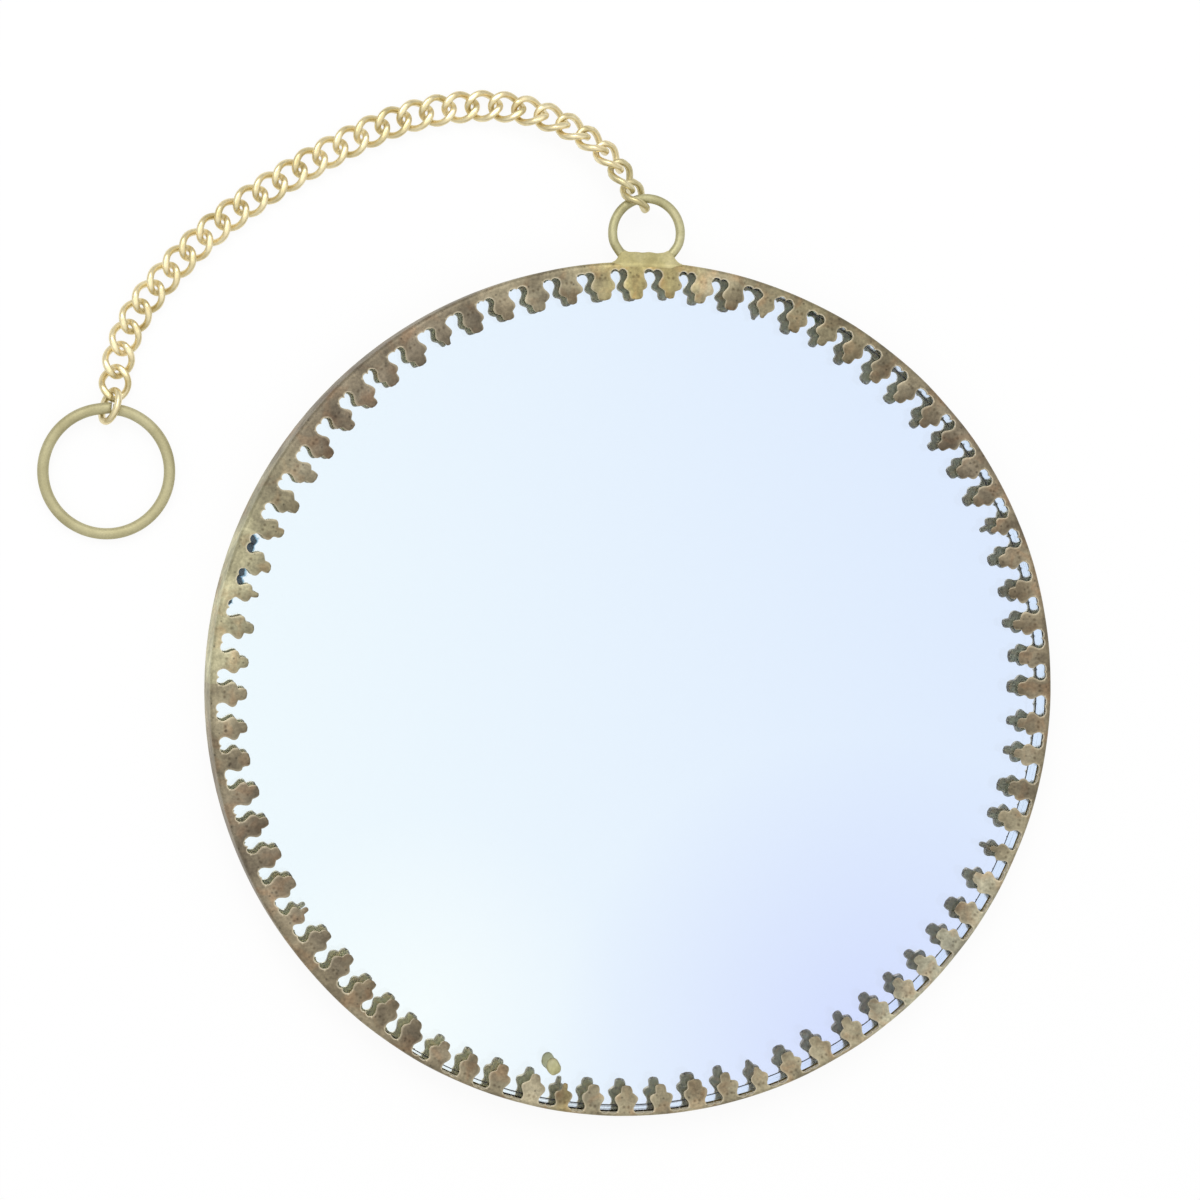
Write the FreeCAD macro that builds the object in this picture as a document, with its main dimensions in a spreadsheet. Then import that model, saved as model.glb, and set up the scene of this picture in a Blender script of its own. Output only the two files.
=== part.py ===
import FreeCAD, Part
import math
import os
import Sketcher

# Round hand-made brass mirror with a toothed gallery, a brazed hanger loop, a curb chain and an end ring.
# The mirror lies on its back. The origin is the centre of the flat back, +Z points out of the glass and
# +Y runs through the hanger loop. Lengths are in millimetres and angles in degrees.

SIZES = [
    ("mirror_diameter", 130.0, "outside of the gallery's wall"),
    ("back_sheet", 0.5, "thickness of the brass back plate"),
    ("card_thickness", 1.0, "packing card behind the silvering"),
    ("coat_thickness", 0.1, "silvering with its protective paint"),
    ("coat_margin", 0.3, "bare strip left round the silvering"),
    ("glass_thickness", 4.0, "mirror glass"),
    ("glass_arris", 0.3, "ground front edge of the glass"),
    ("glass_play", 0.2, "room between the glass and the wall"),
    ("tooth_clearance", 0.4, "air between the glass and the teeth"),
    ("band_sheet", 0.6, "thickness of the gallery strip"),
    ("band_bend", 0.75, "reach of the folded edge"),
    ("flange_width", 1.0, "from the outside to the base of the gaps"),
    ("tooth_count", 76, "teeth round the mirror"),
    ("root_width", 2.4, "tooth at its root"),
    ("shoulder_width", 3.7, "tooth at its widest"),
    ("notch_width", 2.1, "waist below the tip"),
    ("tip_width", 1.75, "lobe at the tip"),
    ("tip_flat", 0.9, "blunt end of the tip"),
    ("flare_length", 1.7, "root to shoulder"),
    ("shoulder_length", 0.6, "straight part of the shoulder"),
    ("notch_length", 0.6, "shoulder to waist"),
    ("lobe_length", 0.7, "waist to the tip's corner"),
    ("tip_length", 0.6, "corner to the blunt end"),
    ("tooth_turn", 3.5, "first tooth past the loop, clockwise"),
    ("cusp_depth", 0.4, "cusp left between the two bites of the punch at the base of each gap"),
    ("loop_wire", 1.4, "wire of the hanger loop"),
    ("loop_inside", 9.0, "hole of the hanger loop"),
    ("loop_stand", 4.4, "loop's centre beyond the wall"),
    ("loop_drop", 2.0, "loop's centre below the teeth's face"),
    ("loop_end_gap", 0.1, "between the loop's ends and the wall"),
    ("braze_width", 11.2, "foot of the braze along the wall"),
    ("braze_depth", 1.4, "flat of the braze inside the loop"),
    ("braze_flat", 6.0, "width of that flat"),
    ("braze_rise", 1.6, "height of the shoulders against the loop"),
    ("braze_above", 1.3, "braze above the loop's centre"),
    ("braze_below", 1.9, "braze below the loop's centre"),
    ("braze_hollow", 0.3, "sink of the braze's concave sides"),
    ("link_count", 31, "links from the loop to the ring"),
    ("link_wire", 1.0, "wire of the links"),
    ("link_length", 5.9, "outside of a link, along the chain"),
    ("link_width", 4.9, "outside of a link, across"),
    ("link_twist", 48.0, "turn of each bow out of the link's plane"),
    ("link_slack", 0.38, "each joint of the lying chain is short of taut by this"),
    ("hook_heading", 112.19, "direction from the loop's centre to the first crossing of links"),
    ("hook_reach", 2.187, "that crossing beyond the middle of the loop's wire"),
    ("chain_fall", 0.38, "drop of the hanging links, each below the last"),
    ("table_gap", 0.08, "lowest wire of the lying links above the table"),
    ("first_heading", 128.0, "direction of the link on the loop"),
    ("first_roll", 53.7, "roll of the link on the loop"),
    ("last_heading", 251.0, "direction of the link on the ring"),
    ("last_roll", 60.5, "roll of the link on the ring"),
    ("last_slope", -3.0, "slope of the link on the ring"),
    ("last_lift", 0.2, "rise of the last twisted link, which the ring's link lifts"),
    ("ring_wire", 1.7, "wire of the end ring"),
    ("ring_inside", 17.1, "hole of the end ring"),
    ("ring_heading", 268.0, "direction from the last link to the ring's centre"),
    ("ring_seat", 0.44, "ring's wire past the middle of its link"),
    ("ring_split", 0.2, "gap between the ring's butted ends"),
    ("ring_split_angle", 182.0, "place of the butted ends, from the ring's own X axis"),
    ("link_sides", 7, "facets round a link's wire"),
    ("link_stations", 12, "facets along a link"),
    ("round_sides", 8, "facets round the loop's and the ring's wire"),
    ("loop_stations", 18, "facets along the loop"),
    ("ring_stations", 32, "facets along the ring"),
]

# Direction of the chain by link number, seen from above and counted from +X, straight between these links.
HEADINGS = [(2, 121.0), (4, 144.0), (9, 182.5), (14, 207.0), (20, 216.5), (26, 233.5), (30, 267.0)]
# Roll of the links about the chain's line: upright near the loop, flat on the table further on.
ROLLS = [(2, 49.0), (4, 47.0), (10, 0.0)]

OVERCUT = 0.5

doc = FreeCAD.newDocument("round_mirror")
sheet = doc.addObject("Spreadsheet::Sheet", "Sizes")
for row, (alias, value, note) in enumerate(SIZES, start=1):
    sheet.set(f"A{row}", alias)
    sheet.set(f"B{row}", str(value))
    sheet.set(f"C{row}", note)
    sheet.setAlias(f"B{row}", alias)
doc.recompute()


def size(expression):
    """Read a size, or a sum of sizes, from the sheet."""
    return float(sheet.evalExpression(expression))


# Heights of the stack and radii that several pieces share, as sums of the sheet's cells.
WALL_OUT = "Sizes.mirror_diameter / 2"
WALL_IN = f"({WALL_OUT} - Sizes.band_sheet)"
GLASS_RADIUS = f"({WALL_IN} - Sizes.glass_play)"
CARD_Z = "Sizes.back_sheet"
COAT_Z = f"({CARD_Z} + Sizes.card_thickness)"
GLASS_Z = f"({COAT_Z} + Sizes.coat_thickness)"
TEETH_Z = f"({GLASS_Z} + Sizes.glass_thickness + Sizes.tooth_clearance)"
FACE_Z = f"({TEETH_Z} + Sizes.band_sheet)"
GAP_RADIUS = f"({WALL_OUT} - Sizes.flange_width)"
TOOTH_STEPS = ["flare", "shoulder", "notch", "lobe", "tip"]
TOOTH_LENGTH = "(" + " + ".join(f"Sizes.{step}_length" for step in TOOTH_STEPS) + ")"
TIP_RADIUS = f"({GAP_RADIUS} - {TOOTH_LENGTH})"


def disc(label, radius, bottom, thickness):
    """Flat round piece of the stack."""
    piece = doc.addObject("Part::Cylinder", label)
    piece.setExpression("Radius", radius)
    piece.setExpression("Height", thickness)
    piece.setExpression("Placement.Base.z", bottom)
    return piece


def new_sketch(body, label, role, lift=None):
    """Sketch on one of the body's own origin planes, lifted along the plane's normal."""
    sketch = body.newObject("Sketcher::SketchObject", label)
    plane = next(item for item in body.Origin.OriginFeatures if item.Role == role)
    sketch.AttachmentSupport = [(plane, "")]
    sketch.MapMode = "FlatFace"
    if lift:
        sketch.setExpression("AttachmentOffset.Base.z", lift)
    return sketch


def bind(sketch, kind, places, expression):
    """Hold one measure of a sketch to a sum of the sheet's cells."""
    index = sketch.addConstraint(Sketcher.Constraint(kind, *places, size(expression)))
    sketch.setExpression(f"Constraints[{index}]", expression)


def outline(sketch, corners):
    """Closed outline of straight sides through bound corners."""
    points = [FreeCAD.Vector(size(x), size(y), 0) for x, y in corners]
    count = len(points)
    for side, start in enumerate(points):
        sketch.addGeometry(Part.LineSegment(start, points[(side + 1) % count]))
    for side, (x, y) in enumerate(corners):
        sketch.addConstraint(Sketcher.Constraint("Coincident", side, 2, (side + 1) % count, 1))
        bind(sketch, "DistanceX", (-1, 1, side, 1), x)
        bind(sketch, "DistanceY", (-1, 1, side, 1), y)


def gallery_band():
    """Strip of sheet brass turned into a wall, folded over the glass and punched into teeth."""
    body = doc.addObject("PartDesign::Body", "gallery_band")
    profile = new_sketch(body, "band_profile", "XZ_Plane")
    outline(profile, [
        (WALL_IN, CARD_Z),
        (WALL_OUT, CARD_Z),
        (WALL_OUT, f"{FACE_Z} - Sizes.band_bend"),
        (f"{WALL_OUT} - Sizes.band_bend", FACE_Z),
        (TIP_RADIUS, FACE_Z),
        (TIP_RADIUS, TEETH_Z),
        (WALL_IN, TEETH_Z),
    ])
    strip = body.newObject("PartDesign::Revolution", "folded_strip")
    strip.Profile = profile
    strip.ReferenceAxis = (profile, ["V_Axis"])
    strip.Angle = 360
    doc.recompute()

    half_step = "(180 / Sizes.tooth_count)"
    gap = new_sketch(body, "tooth_gap_outline", "XY_Plane", f"{FACE_Z} + {OVERCUT}")
    # A tooth, and not a gap, lies on the strip's own Y axis.
    gap.setExpression("AttachmentOffset.Rotation.Angle", half_step)

    def beside_tooth(half_width, inward):
        """Point on the flank of the tooth to the right of the gap."""
        radius = f"({GAP_RADIUS} - ({inward}))"
        x = f"{radius} * sin({half_step}) - ({half_width}) * cos({half_step})"
        y = f"{radius} * cos({half_step}) + ({half_width}) * sin({half_step})"
        return x, y

    flank = [("Sizes.tip_flat / 2", f"{TOOTH_LENGTH} + {OVERCUT}")]
    inward = TOOTH_LENGTH
    widths = ["tip_flat", "tip_width", "notch_width", "shoulder_width", "shoulder_width"]
    for step, width in zip(reversed(TOOTH_STEPS), widths):
        flank.append((f"Sizes.{width} / 2", inward))
        inward = f"{inward} - Sizes.{step}_length"
    flank.append(("Sizes.root_width / 2", "0"))
    right = [beside_tooth(*point) for point in flank]
    cusp = ("0", f"{GAP_RADIUS} - Sizes.cusp_depth")
    left = [(f"-({x})", y) for x, y in reversed(right)]
    outline(gap, right + [cusp] + left)
    cut = body.newObject("PartDesign::Pocket", "tooth_gap")
    cut.Profile = gap
    cut.setExpression("Length", f"Sizes.band_sheet + 2 * {OVERCUT}")
    doc.recompute()
    assert cut.Shape.Volume < strip.Shape.Volume, "the tooth gap cuts nothing"
    teeth = body.newObject("PartDesign::PolarPattern", "tooth_gaps")
    teeth.Originals = [cut]
    teeth.Axis = (gap, ["N_Axis"])
    teeth.Angle = 360
    teeth.setExpression("Occurrences", "Sizes.tooth_count")
    body.Tip = teeth
    body.setExpression("Placement.Rotation.Angle", "-Sizes.tooth_turn")
    return body


def glass_disc():
    """Round of mirror glass with the front edge ground off."""
    body = doc.addObject("PartDesign::Body", "glass_disc")
    rim = new_sketch(body, "glass_rim", "XY_Plane", GLASS_Z)
    rim.addGeometry(Part.Circle(FreeCAD.Vector(0, 0, 0), FreeCAD.Vector(0, 0, 1), size(GLASS_RADIUS)))
    rim.addConstraint(Sketcher.Constraint("Coincident", 0, 3, -1, 1))
    bind(rim, "Radius", (0,), GLASS_RADIUS)
    blank = body.newObject("PartDesign::Pad", "glass_blank")
    blank.Profile = rim
    blank.setExpression("Length", "Sizes.glass_thickness")
    doc.recompute()
    front = size(f"{GLASS_Z} + Sizes.glass_thickness")
    edges = enumerate(blank.Shape.Edges, start=1)
    rims = [f"Edge{number}" for number, edge in edges if edge.BoundBox.ZMin > front - OVERCUT]
    arris = body.newObject("PartDesign::Chamfer", "glass_edge")
    arris.Base = (blank, rims)
    arris.setExpression("Size", "Sizes.glass_arris")
    body.Tip = arris
    return body


def wire_solid(path, wire, sides, closed):
    """Wire of flat facets along its centreline. Its section has the area of the round wire."""
    count = len(path)
    facet_angle = 2 * math.pi / sides
    corner = wire / 2 * math.sqrt(facet_angle / math.sin(facet_angle))
    tangents = []
    for here in range(count):
        before = path[here - 1] if closed or here else path[here]
        after = path[(here + 1) % count] if closed or here < count - 1 else path[here]
        tangents.append((after - before).normalize())
    normal = tangents[0].cross(FreeCAD.Vector(0, 0, 1)).normalize()
    carried = [normal]
    for tangent in tangents[1:] + tangents[:1]:
        normal = (normal - tangent * normal.dot(tangent)).normalize()
        carried.append(normal)
    # Carried round a closed path the section comes back turned, and each station takes its share of that.
    back_turn = 0.0
    if closed:
        side_way = tangents[0].cross(carried[0])
        back_turn = math.atan2(carried[-1].dot(side_way), carried[-1].dot(carried[0]))
    rings = []
    for here, (point, tangent) in enumerate(zip(path, tangents)):
        across = tangent.cross(carried[here])
        ring = []
        for side in range(sides):
            angle = (side + 0.5) * facet_angle - back_turn * here / count
            spoke = carried[here] * math.cos(angle) + across * math.sin(angle)
            ring.append(point + spoke * corner)
        rings.append(ring)
    faces = []
    spans = count if closed else count - 1
    for here in range(spans):
        one, other = rings[here], rings[(here + 1) % count]
        for side in range(sides):
            nxt = (side + 1) % sides
            faces.append([one[side], one[nxt], other[nxt]])
            faces.append([one[side], other[nxt], other[side]])
    if not closed:
        faces.append(list(reversed(rings[0])))
        faces.append(rings[-1])
    shell = Part.Shell([Part.Face(Part.makePolygon(face + face[:1])) for face in faces])
    shell.sewShape()
    solid = Part.Solid(shell)
    if solid.Volume < 0:
        solid.reverse()
    return solid


def feature(label, shape, placement=None):
    """Piece whose shape is worked out from the sheet's sizes."""
    piece = doc.addObject("Part::Feature", label)
    piece.Shape = shape
    if placement:
        piece.Placement = placement
    return piece


def arc_path(radius, start, end, stations):
    """Centreline of a bent wire round its own centre, in its own XY plane."""
    path = []
    for here in range(stations + 1):
        angle = math.radians(start + (end - start) * here / stations)
        path.append(FreeCAD.Vector(radius * math.cos(angle), radius * math.sin(angle), 0))
    return path


def loop_centre():
    """Centre of the hanger loop, beyond the wall and level with the folded edge."""
    return FreeCAD.Vector(0, size(f"{WALL_OUT} + Sizes.loop_stand"), size(f"{FACE_Z} - Sizes.loop_drop"))


def hanger_loop():
    """Wire loop, open where its two ends stop against the wall."""
    wire = size("Sizes.loop_wire")
    radius = (size("Sizes.loop_inside") + wire) / 2
    centre = loop_centre()
    reach = size(f"{WALL_OUT} + Sizes.loop_end_gap") + wire / 2
    end_y = (reach ** 2 - radius ** 2 + centre.y ** 2) / (2 * centre.y) - centre.y
    end_angle = math.degrees(math.asin(end_y / radius))
    path = arc_path(radius, end_angle, 180 - end_angle, int(size("Sizes.loop_stations")))
    solid = wire_solid(path, wire, int(size("Sizes.round_sides")), closed=False)
    return feature("hanger_loop", solid, FreeCAD.Placement(centre, FreeCAD.Rotation()))


def braze_fillet(loop):
    """Braze that ties the loop to the wall: flat inside the loop, concave down to the wall outside it."""
    centre = loop_centre()
    wall = size(WALL_OUT)
    foot = size("Sizes.braze_width / 2")
    flat = size("Sizes.braze_flat / 2")
    loop_outside = size("Sizes.loop_inside / 2 + Sizes.loop_wire")
    flat_y = wall + size("Sizes.braze_depth")
    shoulder_y = wall + size("Sizes.braze_rise")
    shoulder = math.sqrt(loop_outside ** 2 - (centre.y - shoulder_y) ** 2)
    inside_y = wall - size("Sizes.braze_depth")
    foot_y = math.sqrt(wall ** 2 - foot ** 2)
    hollow = size("Sizes.braze_hollow")
    side_x = (foot + shoulder) / 2 - hollow
    side_y = (foot_y + shoulder_y) / 2 - hollow
    low = centre.z - size("Sizes.braze_below")

    def at(x, y):
        return FreeCAD.Vector(x, y, low)

    sides = [
        Part.LineSegment(at(-foot, inside_y), at(foot, inside_y)),
        Part.LineSegment(at(foot, inside_y), at(foot, foot_y)),
        Part.Arc(at(foot, foot_y), at(side_x, side_y), at(shoulder, shoulder_y)),
        Part.LineSegment(at(shoulder, shoulder_y), at(flat, flat_y)),
        Part.LineSegment(at(flat, flat_y), at(-flat, flat_y)),
        Part.LineSegment(at(-flat, flat_y), at(-shoulder, shoulder_y)),
        Part.Arc(at(-shoulder, shoulder_y), at(-side_x, side_y), at(-foot, foot_y)),
        Part.LineSegment(at(-foot, foot_y), at(-foot, inside_y)),
    ]
    plan = Part.Face(Part.Wire([side.toShape() for side in sides]))
    height = size("Sizes.braze_above + Sizes.braze_below")
    block = plan.extrude(FreeCAD.Vector(0, 0, height))
    wall_round = Part.makeCylinder(wall, height + 2 * OVERCUT, FreeCAD.Vector(0, 0, low - OVERCUT))
    return feature("braze_fillet", block.cut(wall_round).cut(loop.Shape).Solids[0])


def link_path(twist):
    """Centreline of a link about its middle: an oval whose bows turn opposite ways out of its plane."""
    half_length = size("(Sizes.link_length - Sizes.link_wire) / 2")
    half_width = size("(Sizes.link_width - Sizes.link_wire) / 2")
    stations = int(size("Sizes.link_stations"))
    path = []
    for here in range(stations):
        angle = 2 * math.pi * here / stations
        turn = -math.radians(twist) * math.cos(angle)
        along = half_length * math.cos(angle)
        across = half_width * math.sin(angle)
        path.append(FreeCAD.Vector(along, across * math.cos(turn), across * math.sin(turn)))
    return path


def between(knots, link):
    """Value for one link, straight between its knots."""
    for (low_link, low), (high_link, high) in zip(knots, knots[1:]):
        if link <= high_link:
            return low + (high - low) * (link - low_link) / (high_link - low_link)
    return knots[-1][1]


def turned(heading, slope, roll):
    """Rotation of a piece that points along +X: rolled, then raised at its far end, then headed."""
    about_z = FreeCAD.Rotation(FreeCAD.Vector(0, 0, 1), heading)
    about_y = FreeCAD.Rotation(FreeCAD.Vector(0, 1, 0), -slope)
    about_x = FreeCAD.Rotation(FreeCAD.Vector(1, 0, 0), roll)
    return about_z.multiply(about_y).multiply(about_x)


def chain_places():
    """Placement of each link from the loop to the ring, midway between its two crossings."""
    count = int(size("Sizes.link_count"))
    step = size("Sizes.link_length - 2 * Sizes.link_wire - Sizes.link_slack")
    headings = [size("Sizes.first_heading")]
    headings += [between(HEADINGS, link) for link in range(2, count)] + [size("Sizes.last_heading")]
    rolls = [size("Sizes.first_roll")]
    rolls += [between(ROLLS, link) for link in range(2, count)] + [size("Sizes.last_roll")]
    twists = [size("Sizes.link_twist")] * (count - 1) + [0.0]
    centre = loop_centre()

    heights = []
    for link in range(count):
        roll = turned(0, 0, rolls[link])
        lowest = min(roll.multVec(point).z for point in link_path(twists[link]))
        lying = size("Sizes.link_wire / 2 + Sizes.table_gap") - lowest
        hanging = centre.z - size("Sizes.chain_fall") * link
        heights.append(max(lying, hanging))
    heights[-2] += size("Sizes.last_lift")
    heights[-3] += size("Sizes.last_lift / 2")

    hook = size("(Sizes.loop_inside + Sizes.loop_wire) / 2 + Sizes.hook_reach")
    crossings = [centre + turned(size("Sizes.hook_heading"), 0, 0).multVec(FreeCAD.Vector(hook, 0, 0))]
    crossings.insert(0, crossings[0] - turned(headings[0], 0, 0).multVec(FreeCAD.Vector(step, 0, 0)))
    for heading in headings[1:]:
        crossings.append(crossings[-1] + turned(heading, 0, 0).multVec(FreeCAD.Vector(step, 0, 0)))
    levels = [(one + other) / 2 for one, other in zip(heights, heights[1:])]
    levels = [2 * heights[0] - levels[0]] + levels + [heights[-1]]

    places = []
    for link in range(count):
        middle = (crossings[link] + crossings[link + 1]) * 0.5
        middle.z = heights[link]
        slope = math.degrees(math.atan2(levels[link + 1] - levels[link], step))
        if link == count - 1:
            slope = size("Sizes.last_slope")
        places.append(FreeCAD.Placement(middle, turned(headings[link], slope, rolls[link])))
    return places


def chain_links(places):
    """Twisted curb links, and the plain one that holds the ring."""
    wire = size("Sizes.link_wire")
    sides = int(size("Sizes.link_sides"))
    curb = wire_solid(link_path(size("Sizes.link_twist")), wire, sides, closed=True)
    plain = wire_solid(link_path(0.0), wire, sides, closed=True)
    shapes = [curb] * (len(places) - 1) + [plain]
    links = []
    for number, (shape, place) in enumerate(zip(shapes, places), start=1):
        links.append(feature(f"chain_link_{number:02d}", shape.copy(), place))
    return links


def end_ring(last_place):
    """Butted wire ring. The last link props its near side, so it slopes down to the table."""
    wire = size("Sizes.ring_wire")
    radius = (size("Sizes.ring_inside") + wire) / 2
    split = math.degrees(size("Sizes.ring_split") / radius)
    start = size("Sizes.ring_split_angle") + split / 2
    path = arc_path(radius, start, start + 360 - split, int(size("Sizes.ring_stations")))
    rise = last_place.Base.z - wire / 2 - size("Sizes.table_gap")
    slope = math.degrees(math.asin(rise / (2 * radius)))
    lie = turned(size("Sizes.ring_heading"), -slope, 0)
    centre = last_place.Base + lie.multVec(FreeCAD.Vector(radius + size("Sizes.ring_seat"), 0, 0))
    solid = wire_solid(path, wire, int(size("Sizes.round_sides")), closed=False)
    return feature("end_ring", solid, FreeCAD.Placement(centre, lie))


pieces = [
    disc("back_plate", WALL_OUT, "0", "Sizes.back_sheet"),
    disc("packing_card", GLASS_RADIUS, CARD_Z, "Sizes.card_thickness"),
    disc("silver_coat", f"{GLASS_RADIUS} - Sizes.coat_margin", COAT_Z, "Sizes.coat_thickness"),
    glass_disc(),
    gallery_band(),
    hanger_loop(),
]
pieces.append(braze_fillet(pieces[-1]))
link_places = chain_places()
pieces += chain_links(link_places)
pieces.append(end_ring(link_places[-1]))
doc.recompute()

for item in doc.Objects:
    assert "Invalid" not in item.State and "Error" not in item.State, f"{item.Label} failed"
for piece in pieces:
    assert not piece.Shape.isNull() and piece.Shape.isValid(), f"{piece.Label} has no valid shape"
    assert len(piece.Shape.Solids) == 1, f"{piece.Label} is not one solid"

os.makedirs("parts", exist_ok=True)
for piece in pieces:
    piece.Shape.exportStep(f"parts/{piece.Label}.step")
    print(f"{piece.Label}: {piece.Shape.Volume:.2f} mm3")
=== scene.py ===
import math
import random

import bmesh
import bpy
import numpy as np
from mathutils import Matrix, Vector, noise


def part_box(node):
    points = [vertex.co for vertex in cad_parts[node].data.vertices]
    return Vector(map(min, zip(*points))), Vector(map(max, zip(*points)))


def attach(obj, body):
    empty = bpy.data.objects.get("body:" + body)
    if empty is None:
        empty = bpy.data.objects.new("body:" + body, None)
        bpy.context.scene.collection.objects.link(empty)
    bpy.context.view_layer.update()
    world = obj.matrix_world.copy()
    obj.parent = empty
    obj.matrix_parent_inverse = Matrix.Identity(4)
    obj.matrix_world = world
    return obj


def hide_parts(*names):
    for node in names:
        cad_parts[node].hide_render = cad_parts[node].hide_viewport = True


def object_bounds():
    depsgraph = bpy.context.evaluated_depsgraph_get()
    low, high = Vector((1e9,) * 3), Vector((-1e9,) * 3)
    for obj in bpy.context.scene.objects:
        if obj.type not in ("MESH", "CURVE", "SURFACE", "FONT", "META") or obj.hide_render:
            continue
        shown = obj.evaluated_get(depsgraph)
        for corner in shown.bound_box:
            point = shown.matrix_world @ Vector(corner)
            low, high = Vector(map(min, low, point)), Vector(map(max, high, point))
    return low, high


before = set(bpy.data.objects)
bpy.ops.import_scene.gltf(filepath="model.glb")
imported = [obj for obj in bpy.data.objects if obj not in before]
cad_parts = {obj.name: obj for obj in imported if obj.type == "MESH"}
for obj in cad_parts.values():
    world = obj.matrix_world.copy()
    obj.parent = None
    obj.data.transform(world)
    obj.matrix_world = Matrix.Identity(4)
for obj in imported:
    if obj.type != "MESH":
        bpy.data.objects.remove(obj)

# Small round hand-made mirror with its chain, lying on its back on a white table. Sizes are metres, written as
# millimetres times MM. +Z is out of the glass, +Y runs through the loop, and clock angles start at the loop.
MM = 0.001
cad_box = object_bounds()

# Camera, table and light: the mirror is seen from above, a little from the chain's side, on a white sheet under a
# large soft lamp. The sheet looks white and keeps a faint shadow. It is clear from below, so that it doesn't hide
# the back, and the lamp doesn't show in the glass.
camera_place = Vector((-89.88, 30.87, 541.88)) * MM
camera_aim = Vector((-4.987, 13.457, 0)) * MM
camera_top = Vector((-0.02565, 0.99967, 0))
camera_back = (camera_place - camera_aim).normalized()
camera_right = camera_top.cross(camera_back).normalized()
camera_up = camera_back.cross(camera_right)
camera = bpy.data.objects.new("camera", bpy.data.cameras.new("camera"))
camera.data.sensor_width = 36
camera.data.lens = 107.5
camera.data.clip_start = 0.01
camera.matrix_world = Matrix.Translation(camera_place) @ Matrix(
    (camera_right, camera_up, camera_back)).transposed().to_4x4()
bpy.context.collection.objects.link(camera)
bpy.context.scene.camera = camera
bpy.context.scene.view_settings.view_transform = "Standard"


def add_piece(name, shape, *finishes):
    """Object in the scene from a finished bmesh, with its materials and smooth faces."""
    mesh = bpy.data.meshes.new(name)
    shape.to_mesh(mesh)
    shape.free()
    for finish in finishes:
        mesh.materials.append(finish)
    for face in mesh.polygons:
        face.use_smooth = True
    piece = bpy.data.objects.new(name, mesh)
    bpy.context.collection.objects.link(piece)
    return piece


def new_finish(name):
    """Material with its Principled shader, ready for a pattern."""
    finish = bpy.data.materials.new(name)
    finish.use_nodes = True
    return finish, finish.node_tree, finish.node_tree.nodes["Principled BSDF"]


def seen_white(tree):
    """Factor that is 1 for the eye and for mirrored and refracted rays, and 0 for the light on the object."""
    path = tree.nodes.new("ShaderNodeLightPath")
    factor = path.outputs["Is Camera Ray"]
    for ray in ("Is Glossy Ray", "Is Transmission Ray"):
        either = tree.nodes.new("ShaderNodeMath")
        either.operation = "MAXIMUM"
        tree.links.new(factor, either.inputs[0])
        tree.links.new(path.outputs[ray], either.inputs[1])
        factor = either.outputs[0]
    return factor


def stops(tree, value, *steps):
    """Colours that follow a value, each given with its place between 0 and 1."""
    node = tree.nodes.new("ShaderNodeValToRGB")
    ramp = node.color_ramp
    ramp.elements[0].position, ramp.elements[0].color = steps[0][0], (*steps[0][1], 1)
    ramp.elements[1].position, ramp.elements[1].color = steps[-1][0], (*steps[-1][1], 1)
    for position, colour in steps[1:-1]:
        ramp.elements.new(position).color = (*colour, 1)
    tree.links.new(value, node.inputs[0])
    return node.outputs[0]


table_half = 20
table_drop = 0.1 * MM
table_white_share = 0.9
table_shape = bmesh.new()
bmesh.ops.create_grid(table_shape, x_segments=8, y_segments=8, size=table_half)
bmesh.ops.translate(table_shape, vec=(0, 0, -table_drop), verts=list(table_shape.verts))
table_finish, tree, shader = new_finish("white_table")
shader.inputs["Base Color"].default_value = (0.9, 0.9, 0.9, 1)
shader.inputs["Roughness"].default_value = 0.9
white_share = tree.nodes.new("ShaderNodeMath")
white_share.operation = "MULTIPLY"
white_share.inputs[1].default_value = table_white_share
tree.links.new(seen_white(tree), white_share.inputs[0])
from_above = tree.nodes.new("ShaderNodeMixShader")
tree.links.new(white_share.outputs[0], from_above.inputs[0])
tree.links.new(shader.outputs[0], from_above.inputs[1])
tree.links.new(tree.nodes.new("ShaderNodeEmission").outputs[0], from_above.inputs[2])
open_below = tree.nodes.new("ShaderNodeMixShader")
tree.links.new(tree.nodes.new("ShaderNodeNewGeometry").outputs["Backfacing"], open_below.inputs[0])
tree.links.new(from_above.outputs[0], open_below.inputs[1])
tree.links.new(tree.nodes.new("ShaderNodeBsdfTransparent").outputs[0], open_below.inputs[2])
tree.links.new(open_below.outputs[0], tree.nodes["Material Output"].inputs["Surface"])
table = add_piece("table", table_shape, table_finish)

room = bpy.data.worlds.new("white_room")
bpy.context.scene.world = room
room.use_nodes = True
tree = room.node_tree
room_white, horizon_grey = (1.0, 1.0, 1.0), (0.34, 0.34, 0.35)
white_below, horizon, white_above = 0.125, 0.5, 0.875
height = tree.nodes.new("ShaderNodeSeparateXYZ")
tree.links.new(tree.nodes.new("ShaderNodeTexCoord").outputs["Generated"], height.inputs[0])
whole_height = tree.nodes.new("ShaderNodeMapRange")
whole_height.inputs["From Min"].default_value = -1.0
tree.links.new(height.outputs["Z"], whole_height.inputs["Value"])
room_tone = stops(tree, whole_height.outputs[0], (white_below, room_white), (horizon, horizon_grey),
                  (white_above, room_white))
tree.links.new(room_tone, tree.nodes["Background"].inputs["Color"])
tree.nodes["Background"].inputs["Strength"].default_value = 1.0

lamp = bpy.data.objects.new("soft_lamp", bpy.data.lights.new("soft_lamp", "AREA"))
lamp.data.size = 0.5
lamp.data.energy = 2.5
lamp_place = Vector((-0.15, 0.45, 0.75))
lamp.matrix_world = Matrix.Translation(lamp_place) @ lamp_place.to_track_quat("Z", "Y").to_matrix().to_4x4()
lamp.visible_transmission = False
bpy.context.collection.objects.link(lamp)

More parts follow.
